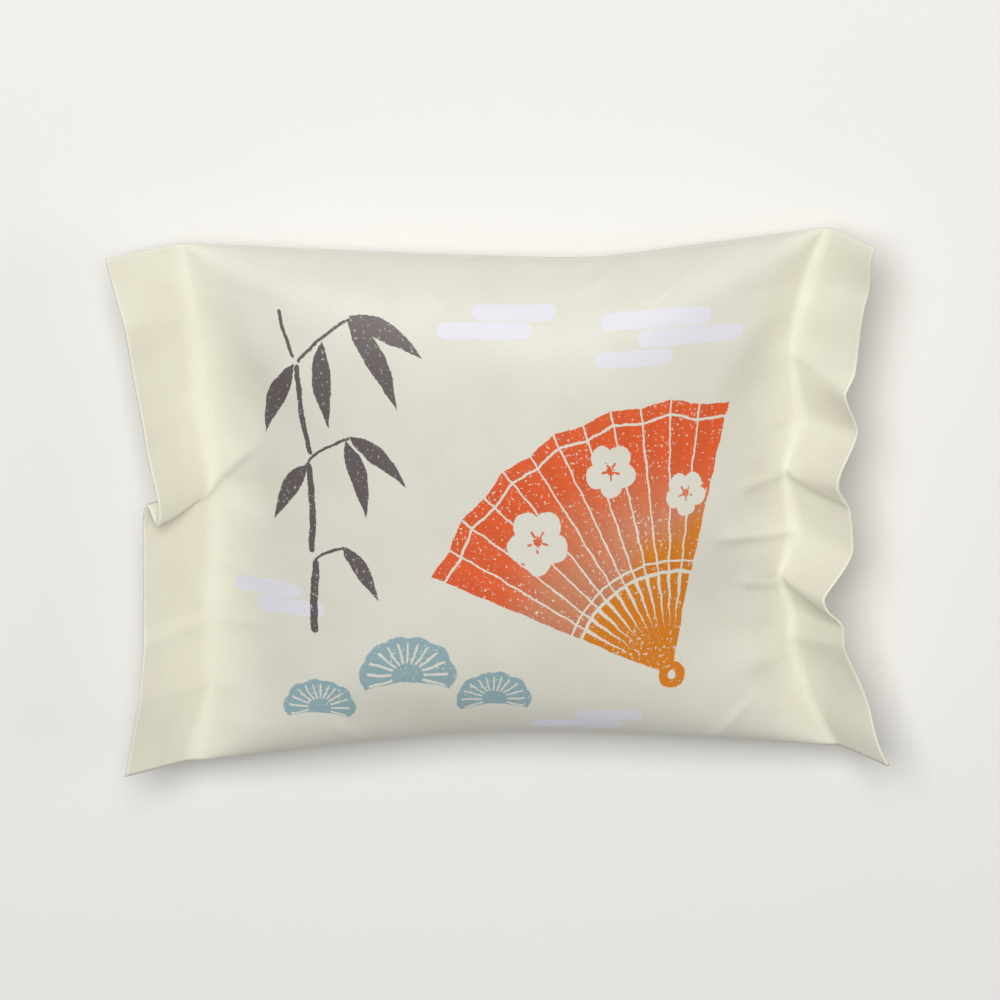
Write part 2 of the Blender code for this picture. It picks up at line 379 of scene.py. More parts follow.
def spine(sizes, place, across):
    """The middle surface of the body from fold to fold: how far along it lies, and how high."""
    lifted = sizes.thickness / 2 - sizes.foot_press - sizes.seal_height
    x = place * seal_line(sizes, math.copysign(1, place), across, abs(place))
    return x, sizes.seal_height + lifted * swelling(sizes, place, across)


def seal_surface(sizes, side, beyond, across, steps=24):
    """The middle surface of an end seal, at a distance from its inner line: points in space."""
    lift = np.radians(between(SEAL_LIFT[side], across))
    start = straight(SEAL_BEND[side], across)
    length = straight(SEAL_BEND[side], across, 2)
    out, up = seal_line(sizes, side, across), np.full_like(across, sizes.seal_height)
    for i in range(steps):
        angle = lift * eased((beyond * (i + 0.5) / steps - start) / length)
        out += np.cos(angle) * beyond / steps
        up += np.sin(angle) * beyond / steps
    turn = lift * eased((beyond - start) / length)
    along = across * sizes.tube_width / 2
    outwards = np.full_like(across, beyond * MILLIMETRES)
    ridge = crease_height(SEAL_CREASES[side], outwards, along * MILLIMETRES)
    ridge *= fold_margin(across, SEAL_MARGIN)
    if side < 0:
        opening = math.sin(math.pi / 2 * beyond / sizes.seal_depth) ** PLEAT_OPENING
        along = along + between(PLEAT, across) * opening
    return np.stack([side * (out - np.sin(turn) * ridge), along, up + np.cos(turn) * ridge], axis=1)


def seal_normals(sizes, side, beyond, across, step=0.0001):
    """Directions straight out of the printed side of an end seal."""
    aside = step / sizes.tube_width
    near, far, low, high = [
        seal_surface(sizes, side, beyond + out, across + up)
        for out, up in ((-step, 0), (step, 0), (0, -aside), (0, aside))
    ]
    normals = np.cross(far - near, high - low) * side
    return normals / np.linalg.norm(normals, axis=1, keepdims=True)


def face_creases(sizes, x, y):
    """Height of the creases of the printed face over its smooth form."""
    height = np.zeros_like(x)
    for along, across, length, width, turn, size in FACE_CREASES:
        angle = math.radians(turn)
        dx = x - along * sizes.body_length / 2
        dy = y - across * sizes.tube_width / 2
        ahead = (dx * math.cos(angle) + dy * math.sin(angle)) / (length / 2)
        aside = (dy * math.cos(angle) - dx * math.sin(angle)) / width
        height += size * np.exp(-ahead * ahead - aside * aside)
    return height


def pucker_rows():
    """Creases as in SEAL_CREASES for (side, upper), on one side of the film only."""
    draw = random.Random(PUCKER_SEED)
    table = {}
    for side in (-1, 1):
        for upper in (True, False):
            rows = []
            for i in range(PUCKER_COUNT):
                at = PUCKER_SPAN * ((i + draw.uniform(0.1, 0.9)) / PUCKER_COUNT - 0.5)
                widths = (draw.uniform(*PUCKER_WIDTH), draw.uniform(*PUCKER_WIDTH))
                size = draw.uniform(*PUCKER_HEIGHT) * draw.choice((-1, 1, 1))
                start = -draw.uniform(*PUCKER_REACH)
                rows.append((start, 0.0, at, at * draw.uniform(0.0, PUCKER_LEAN), size, *widths))
            table[side, upper] = rows
    return table


PUCKERS = pucker_rows()


def crease_height(rows, outwards, along):
    """Height of crisp creases at places in millimetres, outwards from the inner line and along the seal."""
    height = np.zeros_like(along)
    for start, end, at, lean, size, above, below in rows:
        aside = along - at - lean * outwards
        near = np.sqrt(aside * aside + CREST * CREST) / np.where(aside > 0, above, below)
        share = 3 * np.minimum(outwards - start, end - outwards) / (end - start)
        height += size * eased(share) * np.exp(-near)
    return height / MILLIMETRES


def unevenness(x, y, upper):
    """Shallow waves of the film over the cake."""
    layer = WAVE_LAYERS[upper]
    height = [noise.noise(Vector((px / WAVE_SIZE[0], py / WAVE_SIZE[1], layer))) for px, py in zip(x, y)]
    return np.array(height) * WAVE_HEIGHT


def fold_margin(across, share):
    """Fades creases out over a share of the half-width at the two long folds."""
    return eased((1 - np.abs(across)) / share)


def seal_column(sizes, place, across, offset):
    """One column of an end seal, at offsets out of the printed side from the seal's middle surface."""
    side = math.copysign(1, place)
    beyond = (abs(place) - 1) * sizes.seal_depth
    normals = seal_normals(sizes, side, beyond, across)
    return seal_surface(sizes, side, beyond, across) + normals * np.reshape(offset, (-1, 1))


def film_column(sizes, place, across, upper):
    """Where one column of the film goes, from the bottom fold to the top fold, on one face."""
    side = math.copysign(1, place)
    half_film = sizes.film / 2
    if abs(place) > 1:
        return seal_column(sizes, place, across, half_film if upper else -half_film)
    half_tube = sizes.tube_width / 2
    full = (sizes.thickness - sizes.film) / 2
    x, height = spine(sizes, place, across)
    swell = swelling(sizes, place, across)
    rise = full * float(swelling(sizes, place, np.zeros(1))[0])
    y, high = section(rise, half_tube, across)
    flat_fold = section(rise, half_tube, np.ones(1))[0]
    y = y + (fold_line(sizes, place, across) - flat_fold) * across * np.abs(across)
    if rise:
        high = high * full * swell / rise
    high = high + half_film
    outwards = -inwards_of(sizes, place, across) * MILLIMETRES
    along = across * half_tube * MILLIMETRES
    if abs(place) < 1:
        relief = unevenness(x, y, upper) * np.minimum(1.0, swell / CREASE_START)
        relief += crease_height(PUCKERS[side, upper], outwards, along)
        from_fold = (np.abs(across) - 1) * half_tube * MILLIMETRES
        for fold in (-1, 1):
            beside = crease_height(FOLD_CREASES[fold, upper], from_fold, x * MILLIMETRES)
            relief += np.where(np.sign(across) == fold, beside * np.minimum(1.0, swell / FOLD_START), 0.0)
        if upper:
            relief += face_creases(sizes, x, y) * np.minimum(1.0, swell / CREASE_START)
        high = high + relief * fold_margin(across, CREASE_MARGIN)
    ridge = crease_height(SEAL_CREASES[side], outwards, along) * fold_margin(across, SEAL_MARGIN)
    z = height + (high if upper else -high) + ridge
    if not upper:
        foot = sizes.seam_proud - FOOT_EDGE / 16
        over = z - foot
        z = foot + (over + np.sqrt(over * over + FOOT_EDGE * FOOT_EDGE)) / 2
    return np.stack([x, y, z], axis=1)


def seam_column(sizes, place, across, inner):
    """One column across the lap seam's strip: its inner face in the film, or its outer face.

    The strip hangs on its top edge. Its free edge stands off the film, but not where it lies on the table.
    The end seals press it flat.
    """
    free = (across[-1] - across) / (across[-1] - across[0])
    gape = 1 + sum(height * math.sin(place * pace + start) for height, pace, start in SEAM_WAVES)
    step = (sizes.seam_proud - SEAM_PRESSED) * (1 - SEAM_SLOPE * free)
    in_body = float(eased((1.0 - abs(place)) / SEAM_RISE))
    depth = SEAM_PRESSED + in_body * (step + SEAM_GAPE * gape * free**2)
    if inner:
        depth = np.full_like(across, -sizes.film / 3)
    if abs(place) > 1:
        return seal_column(sizes, place, across, -sizes.film / 2 - depth)
    points = film_column(sizes, place, across, False)
    points[:, 2] = np.maximum(points[:, 2] - depth, 0.0)
    return points


def seam_places(sizes):
    """Places across the film of the lap seam's strip, its edges thin."""
    half_tube = sizes.tube_width / 2
    low = (sizes.seam_at - sizes.seam_width / 2) / half_tube
    high = (sizes.seam_at + sizes.seam_width / 2) / half_tube
    margin = SEAM_MARGIN / half_tube
    return np.array([low, low + margin, *np.linspace(low, high, 8)[1:-1], high - margin, high])


def flat_place(sizes, place, across, upper):
    """Where a point of the film lies in its UV map, the printed face in the lower half."""
    body = min(abs(place), 1.0) * sizes.body_length / 2
    beyond = max(abs(place) - 1.0, 0.0) * sizes.seal_depth
    u = 0.5 + math.copysign(body + beyond, place) / FLAT_LENGTH
    v = (across + 1) / 4
    return u, v if upper else 1 - v


def new_pouch(sizes, across, column_form):
    """A flat grid extruded to two sheets joined all round, then moved to a form, with its UV map.

    column_form gives the points of one column from its place, the places across and which sheet it is in.
    """
    along = stations(sizes, sizes.cells_along)
    columns, rows = len(along) - 1, len(across) - 1
    pouch = bmesh.new()
    bmesh.ops.create_grid(pouch, x_segments=columns, y_segments=rows, size=1.0)
    top = bmesh.ops.extrude_face_region(pouch, geom=pouch.faces[:], use_keep_orig=True)["geom"]
    upper = {item for item in top if isinstance(item, bmesh.types.BMVert)}
    spots = {}
    for vertex in pouch.verts:
        column = round((vertex.co.x + 1) / 2 * columns)
        row = round((vertex.co.y + 1) / 2 * rows)
        spots[vertex] = (column, row, vertex in upper)
    forms = [[column_form(sizes, place, across, sheet) for place in along] for sheet in (False, True)]
    for vertex, (column, row, on_top) in spots.items():
        vertex.co = forms[on_top][column][row]
    film_map = pouch.loops.layers.uv.new("film")
    for face in pouch.faces:
        on_top = any(spots[vertex][2] for vertex in face.verts)
        for loop in face.loops:
            column, row, _ = spots[loop.vert]
            loop[film_map].uv = flat_place(sizes, along[column], across[row], on_top)
    bmesh.ops.recalc_face_normals(pouch, faces=pouch.faces[:])
    bmesh.ops.translate(pouch, verts=pouch.verts[:], vec=centring(sizes))
    return pouch


def new_object(name, data):
    thing = bpy.data.objects.new(name, data)
    bpy.context.scene.collection.objects.link(thing)
    return thing


def mesh_object(name, work, material):
    """A bmesh made an object with one material."""
    mesh = bpy.data.meshes.new(name)
    work.to_mesh(mesh)
    work.free()
    mesh.materials.append(material)
    return new_object(name, mesh)


def finished_piece(name, work, material):
    """A bmesh as a smooth-shaded piece that moves with the part."""
    piece = mesh_object(name, work, material)
    piece.data.shade_smooth()
    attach(piece, "root")
    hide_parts(NODE)


def centring(sizes):
    """The move that brings the film's middle over the CAD box's middle, along X and Y."""
    across = np.linspace(-1, 1, 41)
    places = stations(sizes, 60)
    columns = [film_column(sizes, place, across, upper) for place in places for upper in (True, False)]
    points = np.concatenate(columns)
    middle = (points.min(axis=0) + points.max(axis=0)) / 2
    wanted = (CAD_LOW + CAD_HIGH) / 2
    return Vector((wanted.x - middle[0], wanted.y - middle[1], 0.0))


# Materials


NODES_IN_ROW = 12
NODE_SPACING = (180, 220)


class Wiring:
    """Adds nodes to one node tree. Numbers, colours and sockets are all given as values."""

    def __init__(self, tree):
        self.tree = tree

    def node(self, kind, values=(), **settings):
        """A node with its settings, and its inputs filled by name or number."""
        node = self.tree.nodes.new(kind)
        row, column = divmod(len(self.tree.nodes), NODES_IN_ROW)
        node.location = (column * NODE_SPACING[0], -row * NODE_SPACING[1])
        for name, value in settings.items():
            setattr(node, name, value)
        for key, value in dict(values).items():
            self.fill(node.inputs[key], value)
        return node

    def fill(self, socket, value):
        if isinstance(value, bpy.types.NodeSocket):
            self.tree.links.new(value, socket)
        else:
            socket.default_value = value

    def maths(self, operation, *values):
        return self.node("ShaderNodeMath", dict(enumerate(values)), operation=operation).outputs[0]

    def times(self, product, *others):
        """The product of some values."""
        for value in others:
            product = self.maths("MULTIPLY", product, value)
        return product

    def minus(self, value, other):
        return self.maths("SUBTRACT", value, other)

    def vector_maths(self, operation, *values, output=0):
        """Vector maths, as a vector or, with output 1, as a number."""
        node = self.node("ShaderNodeVectorMath", dict(enumerate(values)), operation=operation)
        return node.outputs[output]

    def soft_step(self, value, low, high):
        """0 below low and 1 above high, eased between them. low may be the larger of the two."""
        values = {"Value": value, "From Min": low, "From Max": high}
        return self.node("ShaderNodeMapRange", values, interpolation_type="SMOOTHSTEP").outputs[0]

    def mix(self, share, before, after, kind="RGBA", sockets=(6, 7, 2)):
        """One colour turning into another by a share from 0 to 1, or another kind with its own sockets."""
        node = self.node("ShaderNodeMix", {0: share}, data_type=kind)
        self.fill(node.inputs[sockets[0]], before)
        self.fill(node.inputs[sockets[1]], after)
        return node.outputs[sockets[2]]

    def noise(self, vector, scale, detail, roughness=0.5, output=0):
        """Smooth noise over x and y, as a value or, with output 1, as a colour."""
        values = {"Vector": vector, "Scale": scale, "Detail": detail, "Roughness": roughness}
        return self.node("ShaderNodeTexNoise", values, noise_dimensions="2D").outputs[output]

    def parts(self, vector):
        """x, y and z of a vector."""
        return self.node("ShaderNodeSeparateXYZ", {0: vector}).outputs

    def local(self, given):
        """x and y of a group's Vector as seen from its Place, turned by its Turn."""
        apart = self.vector_maths("SUBTRACT", given["Vector"], given["Place"])
        cosine = self.maths("COSINE", given["Turn"])
        sine = self.maths("SINE", given["Turn"])
        seen = []
        for x, y in ((cosine, sine), (self.times(sine, -1.0), cosine)):
            axis = self.node("ShaderNodeCombineXYZ", {0: x, 1: y}).outputs[0]
            seen.append(self.vector_maths("DOT_PRODUCT", apart, axis, output=1))
        return seen

    def bump(self, grain, height):
        """A normal for the shader. grain is its strength and its height."""
        values = {"Strength": grain[0], "Distance": grain[1], "Height": height}
        return self.node("ShaderNodeBump", values).outputs[0]

    def reach(self, x, y):
        """Distance from the middle."""
        return self.maths("SQRT", self.maths("MULTIPLY_ADD", x, x, self.times(y, y)))

    def use(self, name, values):
        """A shared node group placed in the tree. Its first use makes the group."""
        group = bpy.data.node_groups.get(name) or new_group(name)
        return self.node("ShaderNodeGroup", values, node_tree=group).outputs


# Recipes of the node groups. Each gives the values of its group's outputs.


def paper_grain(wire, given):
    """Fine fibres and faint clouds of a paper film, as a height and a shade."""
    fibre = wire.noise(given["Vector"], given["Fibre"], 2.0, 0.65)
    cloud = wire.noise(given["Vector"], given["Cloud"], 1.0)
    return fibre, wire.soft_step(wire.maths("MULTIPLY_ADD", fibre, 0.8, cloud), 0.55, 1.25)


def hand_cut_edge(wire, given):
    """Shakes a drawing's coordinates a little, so that its edges look cut by hand."""
    shaken = given["Vector"]
    for scale, share in ((0.42, 4.0), (1.9, 1.8)):
        cloud = wire.noise(given["Vector"], scale, 0.0, 0.5, 1)
        aside = wire.vector_maths("SUBTRACT", cloud, (0.5, 0.5, 0.5))
        shaken = wire.vector_maths("MULTIPLY_ADD", aside, wire.times(given["Shake"], share), shaken)
    return [shaken]


def brushed_leaf(wire, given):
    """One brushed leaf, pointed at both ends, fuller towards its stalk and bowed to one side."""
    x, y = wire.local(given)
    along = wire.maths("DIVIDE", x, wire.times(given["Length"], 0.5))
    rest = wire.maths("MULTIPLY_ADD", along, wire.times(along, -1.0), 1.0)
    aside = wire.maths("ABSOLUTE", wire.minus(y, wire.times(given["Bow"], rest)))
    fuller = wire.maths("MAXIMUM", wire.maths("MULTIPLY_ADD", along, -0.19, 0.5), 0.2)
    return [wire.minus(wire.times(rest, fuller, given["Width"]), aside)]


def bowed_bar(wire, given):
    """How far inside a bar with round ends a place is, in millimetres. The bar may be turned and bowed."""
    x, y = wire.local(given)
    half = wire.times(given["Length"], 0.5)
    along = wire.maths("DIVIDE", x, half)
    y = wire.maths("MULTIPLY_ADD", wire.times(along, along), given["Bow"], y)
    over = wire.maths("MAXIMUM", wire.minus(wire.maths("ABSOLUTE", x), half), 0.0)
    return [wire.minus(wire.times(given["Width"], 0.5), wire.reach(over, y))]


def level_bar(wire, given):
    """How far inside a level bar with round ends a place is, in millimetres."""
    apart = wire.vector_maths("ABSOLUTE", wire.vector_maths("SUBTRACT", given["Vector"], given["Place"]))
    over = wire.vector_maths("SUBTRACT", apart, given["Half length"])
    over = wire.vector_maths("MAXIMUM", over, (0.0, 0.0, 0.0))
    return [wire.minus(given["Half height"], wire.vector_maths("LENGTH", over, output=1))]


def bare_specks(wire, given):
    """Where a block print has not taken: small bare specks. More of them with a larger Amount."""
    grain = wire.noise(given["Vector"], 1.6, 2.0, 0.75)
    patch = wire.noise(given["Vector"], 0.16, 0.0)
    limit = wire.minus(0.72, wire.times(given["Amount"], patch))
    return [wire.soft_step(wire.minus(grain, limit), 0.0, 0.035)]


def plum_blossom(wire, given):
    """A plum blossom: five round petals, with bare eye and stamens. Its measures are shares of its size."""
    x, y = [wire.maths("DIVIDE", part, given["Size"]) for part in wire.local(given)]
    far = wire.reach(x, y)
    angle = wire.maths("PINGPONG", wire.maths("ADD", wire.maths("ARCTAN2", y, x), math.pi), math.pi / 5)
    ahead = wire.times(far, wire.maths("COSINE", angle))
    aside = wire.times(far, wire.maths("SINE", angle))
    petals = wire.soft_step(wire.reach(wire.minus(ahead, 0.55), aside), 0.44, 0.40)
    eye = wire.soft_step(far, 0.08, 0.11)
    stamens = wire.maths("MAXIMUM", wire.soft_step(aside, 0.026, 0.05), wire.soft_step(far, 0.33, 0.37))
    return [wire.times(petals, eye, stamens)]


def pine_top(wire, given):
    """The rounded top of a stylised pine, with bare needles. Its measures are shares of its size."""
    x, y = [wire.maths("DIVIDE", part, given["Size"]) for part in wire.local(given)]
    far = wire.reach(x, wire.times(y, 1.25))
    angle = wire.maths("ADD", wire.maths("ARCTAN2", y, x), 2 * math.pi)
    lobe = wire.maths("PINGPONG", angle, math.pi / 10)
    rim = wire.maths("MULTIPLY_ADD", wire.maths("COSINE", wire.times(lobe, 4.0)), 0.08, 0.9)
    disc = wire.soft_step(wire.minus(far, rim), 0.015, -0.015)
    upper = wire.soft_step(wire.maths("MULTIPLY_ADD", wire.times(x, x), 0.25, y), -0.16, -0.13)
    half_gap = math.pi / 20
    needle = wire.maths("PINGPONG", wire.maths("ADD", angle, half_gap), half_gap)
    aside = wire.times(far, wire.maths("SINE", wire.minus(half_gap, needle)))
    printed = wire.soft_step(aside, 0.018, 0.034)
    for low, high in ((0.34, 0.30), (0.80, 0.83)):
        printed = wire.maths("MAXIMUM", printed, wire.soft_step(far, low, high))
    return [wire.times(disc, upper, printed)]


def folding_fan(wire, given):
    """A folding fan seen from its pivot: its pleated leaf, the bare lines of its folds, and its sticks."""
    x, y = wire.local(given)
    far = wire.reach(x, y)
    angle = wire.maths("ARCTAN2", y, x)
    half = wire.times(given["Spread"], 0.5)
    step = wire.maths("DIVIDE", given["Spread"], given["Folds"])
    from_side = wire.maths("ADD", angle, half)
    pleats = wire.maths("DIVIDE", from_side, step)
    to_line = wire.maths("PINGPONG", wire.maths("MAXIMUM", pleats, 0.0), 0.5)
    outer = wire.minus(given["Reach"], wire.times(wire.maths("PINGPONG", pleats, 1.0), 0.9))
    from_edge = wire.minus(outer, far)
    from_inner = wire.minus(far, given["Inner"])
    from_sides = wire.times(wire.minus(half, wire.maths("ABSOLUTE", angle)), far)
    within = [wire.soft_step(gap, -0.06, 0.06) for gap in (from_edge, from_inner, from_sides)]
    folds = wire.soft_step(wire.times(to_line, step, far), 0.10, 0.20)
    border = wire.soft_step(wire.maths("ABSOLUTE", wire.minus(from_edge, 2.3)), 0.14, 0.26)
    hem = wire.soft_step(wire.maths("ABSOLUTE", wire.minus(from_inner, 1.5)), 0.12, 0.22)
    leaf = wire.times(*within, folds, border, hem)
    stick_gap = wire.times(wire.minus(0.5, to_line), step, far)
    stick_width = wire.maths("MULTIPLY_ADD", far, 0.022, 0.30)
    sticks = wire.soft_step(wire.minus(stick_width, stick_gap), -0.05, 0.05)
    sticks = wire.times(sticks, wire.soft_step(from_inner, -0.5, -0.62), within[2])
    boss = wire.soft_step(far, 2.3, 2.15)
    pin = wire.soft_step(far, 0.65, 0.8)
    sticks = wire.times(wire.maths("MAXIMUM", sticks, boss), pin)
    around = wire.maths("DIVIDE", from_side, given["Spread"])
    outwards = wire.maths("DIVIDE", from_inner, wire.minus(given["Reach"], given["Inner"]))
    return leaf, sticks, around, outwards, wire.maths("FRACT", pleats)


PLACED = ("Vector", "Place")
STROKE = {"Turn": 0.0, "Length": 12.0, "Width": 2.5, "Bow": 0.0}
FAN = {"Turn": 0.0, "Spread": 1.3, "Folds": 12.0, "Reach": 44.0, "Inner": 17.0}
FAN_OUTPUTS = ("Leaf", "Sticks", "Around", "Outwards", "Pleat")
# Of each node group: its recipe, its vector inputs, its number inputs with their defaults, and its outputs
NODE_GROUPS = {
    "paper grain": (paper_grain, ("Vector",), {"Fibre": 2.0, "Cloud": 0.12}, ("Height", "Shade")),
    "hand cut edge": (hand_cut_edge, ("Vector",), {"Shake": 0.25}, ("Vector",)),
    "speckle": (bare_specks, ("Vector",), {"Amount": 0.1}, ("Mask",)),
    "leaf": (brushed_leaf, PLACED, STROKE, ("Inside",)),
    "bar": (bowed_bar, PLACED, STROKE, ("Inside",)),
    "mist bar": (level_bar, (*PLACED, "Half length"), {"Half height": 1.2}, ("Inside",)),
    "plum blossom": (plum_blossom, PLACED, {"Turn": 0.0, "Size": 5.0}, ("Mask",)),
    "pine top": (pine_top, PLACED, {"Turn": 0.0, "Size": 6.0}, ("Mask",)),
    "folding fan": (folding_fan, PLACED, FAN, FAN_OUTPUTS),
}


def new_group(name):
    """One of the shader node groups."""
    recipe, vectors, numbers, outputs = NODE_GROUPS[name]
    tree = bpy.data.node_groups.new(name, "ShaderNodeTree")
    for label in vectors:
        tree.interface.new_socket(label, in_out="INPUT", socket_type="NodeSocketVector")
    for label, default in numbers.items():
        socket = tree.interface.new_socket(label, in_out="INPUT", socket_type="NodeSocketFloat")
        socket.default_value = default
    for label in outputs:
        kind = "NodeSocketVector" if label == "Vector" else "NodeSocketFloat"
        tree.interface.new_socket(label, in_out="OUTPUT", socket_type=kind)
    wire = Wiring(tree)
    values = recipe(wire, tree.nodes.new("NodeGroupInput").outputs)
    result = tree.nodes.new("NodeGroupOutput").inputs
    for socket, value in zip(result, values):
        wire.fill(socket, value)
    return tree


# Linear colours of the film's deepest fibres, of its painted edge highlights, and in the folds of the fan
FIBRE_SHADE = (0.62, 0.56, 0.42)
EDGE_WHITENING_AND_HIGHLIGHT = (0.95, 0.94, 0.88)
PLEAT_SHADE = (0.10, 0.02, 0.01)
# How much of them shows, and of the bare specks, and how far the print's edges are shaken, in millimetres
FIBRE_SHARE = 0.17
EDGE_HIGHLIGHT_SHARE = 0.30
PLEAT_SHARE = 0.10
SPECKS = 0.12
EDGE_SHAKE = 0.09
# Between which places the film turns greyer where it lies on the cake, at the left and at the right.
# The grey is partly the cake showing through, partly painted shade that keeps the slopes darker than the
# seals
CAKE_AND_SHADE_ENDS = ((-52.0, -38.0), (51.0, 40.0))
SHEEN = (0.44, 0.56)  # least and greatest roughness of the film
FILM_GRAIN = (0.5, 0.00005)  # strength and height
SEAM_GRAIN = (0.35, 0.00004)
SEAM_DEEPER = 0.93  # the seam's darker shade as a share of the film's colour
# From where to where the film grows paler, in millimetres from its cut ends and from its long folds.
# The paleness is a painted highlight, with some whitening of the creased film
HIGHLIGHT_CUT = (0.30, 0.08)
HIGHLIGHT_FOLD = (0.45, 0.10)

# The print, in millimetres from the middle of the face
FAN_PLACE = (27.0, -26.0, 0.0)
FAN_TURN = math.radians(116)
FAN_SPREAD = math.radians(82)
# Blossoms and pines: x, y and size. The limits are where one gives way to the next.
FAN_BLOSSOMS = ((4.5, -3.5, 5.6), (17.5, 7.5, 4.6), (30.5, 3.0, 3.7))
FAN_LIMITS = (11.3, 24.3)
BLOSSOM_TURN = 0.3
PINES = ((-31.6, -30.2, 6.0), (-17.5, -24.5, 8.2), (-3.4, -29.4, 6.4))
PINE_LIMITS = (-25.7, -9.4)
# Leaves and stalks: place, turn in degrees, length, width and bow
BAMBOO_LEAVES = (
    (-19.3, 27.9, -28, 13.0, 2.9, 0.8), (-21.8, 24.0, -62, 15.0, 3.3, 0.9),
    (-29.6, 20.9, -90, 13.0, 3.0, -0.7), (-37.4, 18.5, -118, 12.5, 2.8, -0.7),
    (-21.9, 9.5, -40, 12.0, 2.8, 0.7), (-25.7, 6.7, -76, 12.5, 2.9, 0.6),
    (-36.7, 3.9, -122, 11.0, 2.6, -0.5), (-25.4, -8.3, -55, 10.5, 2.5, 0.5),
)
BAMBOO_STALKS = (
    (-35.4, 28.4, 102, 6.6, 0.55, 0.2), (-34.0, 17.0, 94, 13.0, 0.80, 0.4),
    (-33.2, 1.8, 90, 13.4, 1.00, -0.3), (-33.1, -12.4, 89, 10.4, 1.20, 0.2),
    (-29.6, 27.9, 35, 10.6, 0.45, 0.5), (-30.2, 11.5, 29, 7.6, 0.45, 0.4),
    (-30.8, -5.2, 26, 4.8, 0.45, 0.3),
)
# Bands of mist, the last five on the underside: place, half-length and half-height
MIST_BARS = (
    (25.0, 30.2, 8.0, 1.3), (31.0, 27.4, 7.5, 1.3), (21.5, 24.6, 5.5, 1.2),
    (1.5, 31.6, 5.5, 1.2), (-3.5, 29.0, 6.5, 1.2), (-41.0, -12.0, 4.5, 1.2),
    (-37.0, -14.6, 4.5, 1.2), (10.0, -35.4, 6.5, 1.15), (15.5, -33.0, 4.5, 1.15),
    (-14.0, 64.0, 10.0, 1.4), (-7.0, 61.0, 8.5, 1.4), (-17.0, 58.0, 6.0, 1.3),
    (20.0, 108.0, 10.0, 1.4), (27.0, 105.0, 7.5, 1.4),
)


def film_millimetres(wire, sizes):
    """The film's own flat coordinates in millimetres, from the middle of the printed face."""
    film_map = wire.node("ShaderNodeUVMap", uv_map="film").outputs[0]
    across = 2 * sizes.tube_width * MILLIMETRES
    along = FLAT_LENGTH * MILLIMETRES
    values = {"Vector": film_map, "Scale": (along, across, 1.0), "Location": (-along / 2, -across / 4, 0.0)}
    return wire.node("ShaderNodeMapping", values).outputs[0]


def opaque(colour):
    return (*colour, 1.0)


def drawn_shapes(wire, kind, vector, rows):
    """How far inside the nearest of some shapes a place is. Neighbours run together softly."""
    inside = None
    for x, y, turn, *sizes in rows:
        values = {"Vector": vector, "Place": (x, y, 0.0), "Turn": math.radians(turn)}
        values.update(zip(("Length", "Width", "Bow"), sizes))
        shape = wire.use(kind, values)["Inside"]
        inside = shape if inside is None else wire.maths("SMOOTH_MAX", inside, shape, 0.5)
    return inside


def motifs(wire, kind, vector, rows, limits, turn=0.0):
    """The mask of some motifs alike that stand side by side. At each limit one gives way to the next."""
    along = wire.parts(vector)[0]
    chosen = rows[0]
    for row, limit in zip(rows[1:], limits):
        chosen = wire.mix(wire.maths("GREATER_THAN", along, limit), chosen, row, "VECTOR", (4, 5, 1))
    size = wire.parts(chosen)[2]
    return wire.use(kind, {"Vector": vector, "Place": chosen, "Turn": turn, "Size": size})["Mask"]


def draw_mist(wire, vector, ground, colours):
    """Bands of mist, both on the face and on the underside."""
    mist = None
    for x, y, half_length, half_height in MIST_BARS:
        values = {"Vector": vector, "Place": (x, y, 0.0), "Half length": (half_length, 0.0, 0.0)}
        bar = wire.use("mist bar", {**values, "Half height": half_height})["Inside"]
        mist = bar if mist is None else wire.maths("MAXIMUM", mist, bar)
    return wire.mix(wire.soft_step(mist, -0.12, 0.12), ground, opaque(colours.lavender))


def draw_pines(wire, vector, ground, colours, bare):
    """Three rounded pine tops."""
    mask = motifs(wire, "pine top", vector, PINES, PINE_LIMITS)
    mask = wire.times(mask, wire.maths("MULTIPLY_ADD", bare, -0.8, 1.0))
    return wire.mix(mask, ground, opaque(colours.teal))


def draw_fan(wire, vector, ground, colours, bare):
    """The fan: red at its rim, then pink, and amber at its inner edge, with bare blossoms and specks."""
    values = {"Vector": vector, "Place": FAN_PLACE, "Turn": FAN_TURN, "Spread": FAN_SPREAD}
    fan = wire.use("folding fan", values)
    blossoms = motifs(wire, "plum blossom", vector, FAN_BLOSSOMS, FAN_LIMITS, BLOSSOM_TURN)
    cloud = wire.minus(wire.noise(vector, 0.07, 1.0), 0.5)
    outwards = wire.maths("MULTIPLY_ADD", cloud, 0.5, fan["Outwards"])
    around = wire.maths("MULTIPLY_ADD", cloud, 0.4, fan["Around"])
    pink = wire.mix(wire.soft_step(outwards, 0.22, 0.70), opaque(colours.pink), opaque(colours.red))
    to_amber = wire.soft_step(wire.maths("MULTIPLY_ADD", around, 0.5, outwards), 0.42, 0.16)
    warm = wire.mix(to_amber, pink, opaque(colours.amber))
    ridge = wire.times(wire.soft_step(fan["Pleat"], 0.35, 0.65), PLEAT_SHARE)
    shaded = wire.mix(ridge, warm, opaque(PLEAT_SHADE))
    printed = wire.minus(1.0, bare)
    leaf = wire.times(fan["Leaf"], wire.minus(1.0, blossoms), printed)
    ground = wire.mix(leaf, ground, shaded)
    return wire.mix(wire.times(fan["Sticks"], printed), ground, opaque(colours.amber))


def draw_bamboo(wire, vector, ground, colours, bare):
    """Brushed stalks and hanging leaves in dark ink."""
    stalks = drawn_shapes(wire, "bar", vector, BAMBOO_STALKS)
    leaves = drawn_shapes(wire, "leaf", vector, BAMBOO_LEAVES)
    drawn = wire.soft_step(wire.maths("MAXIMUM", stalks, leaves), -0.07, 0.07)
    drawn = wire.times(drawn, wire.minus(0.95, wire.times(bare, 0.5)))
    return wire.mix(drawn, ground, opaque(colours.ink))


